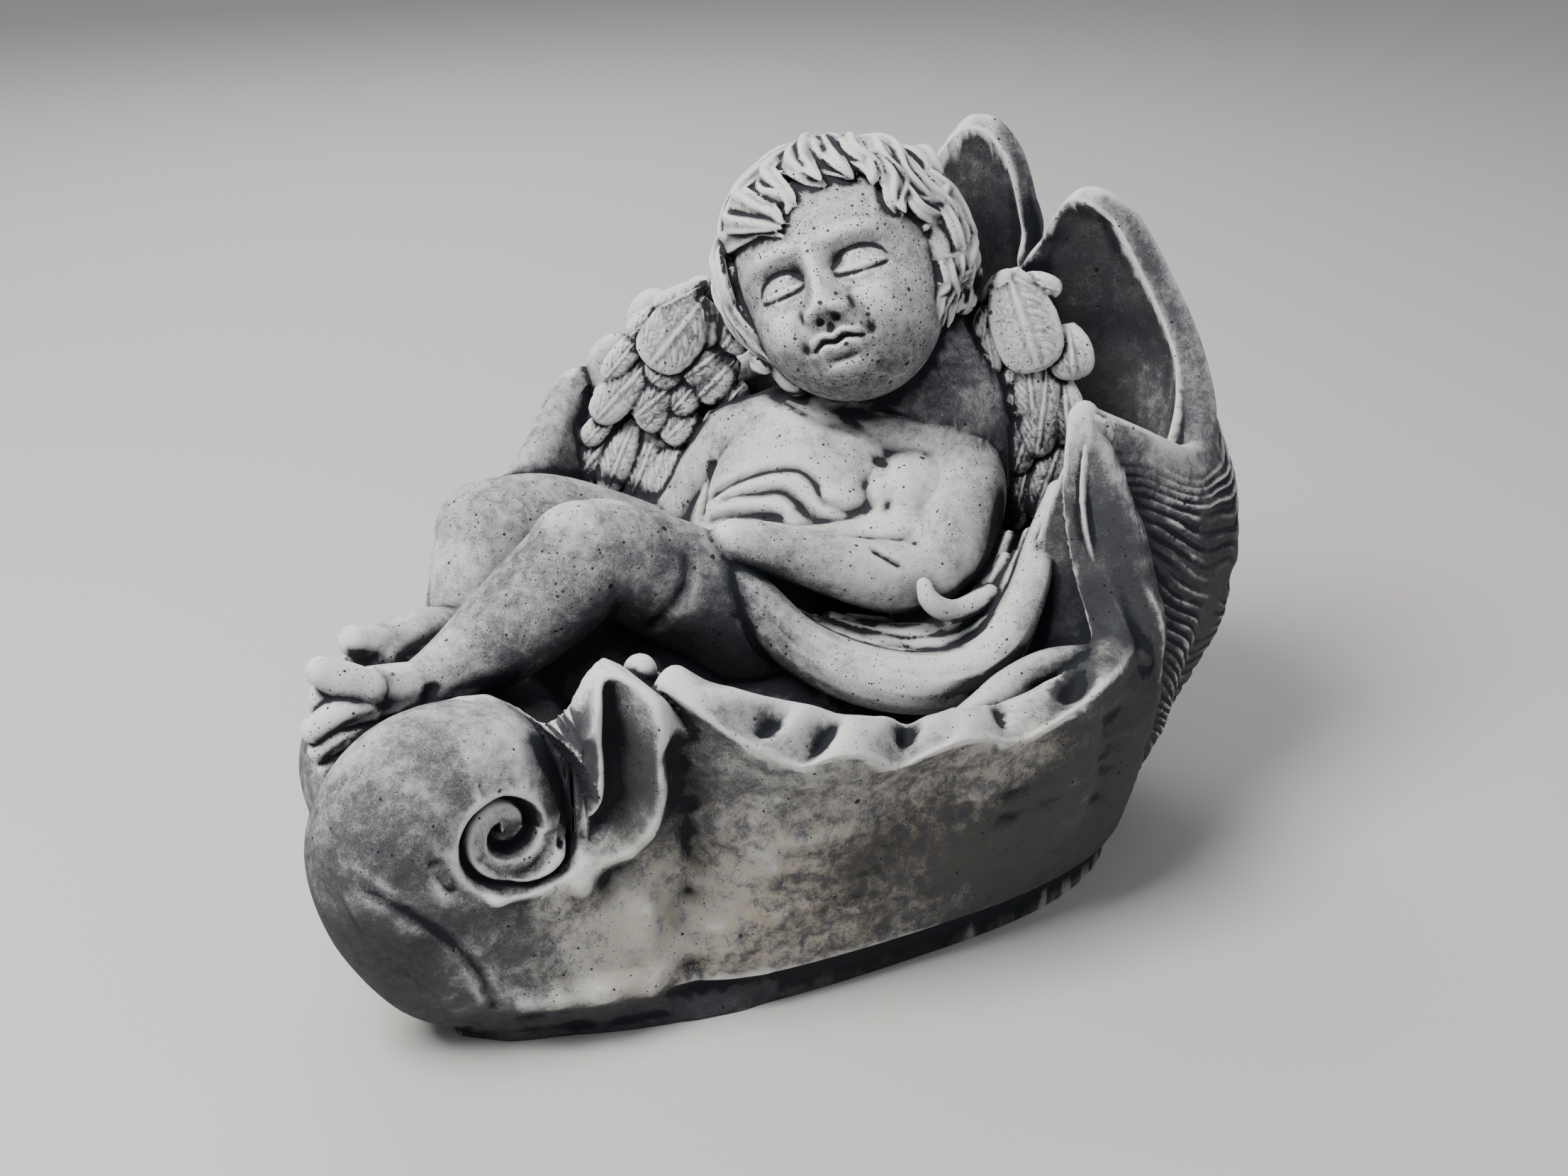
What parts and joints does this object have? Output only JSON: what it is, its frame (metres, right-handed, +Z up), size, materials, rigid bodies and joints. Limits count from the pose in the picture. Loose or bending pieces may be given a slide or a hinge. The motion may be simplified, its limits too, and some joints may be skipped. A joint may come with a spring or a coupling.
{
  "type": "garden statue",
  "caption": "Garden statue of a winged cherub asleep in an open scrolled shell, with drapery across its lap, standing on a flat underside.",
  "frame": {"origin": "centre of the bounding box at the flat underside", "axes": "+X along the statue from the scroll under the feet to the head end, -Y towards the side that faces the viewer, +Z up"},
  "size_m": [0.4047, 0.2385, 0.2791],
  "materials": {
    "cast_stone": "matte cast concrete, light grey on the high places and blue-black in the hollows"
  },
  "bodies": {
    "root": {"statue": "cast_stone"}
  },
  "joints": []
}
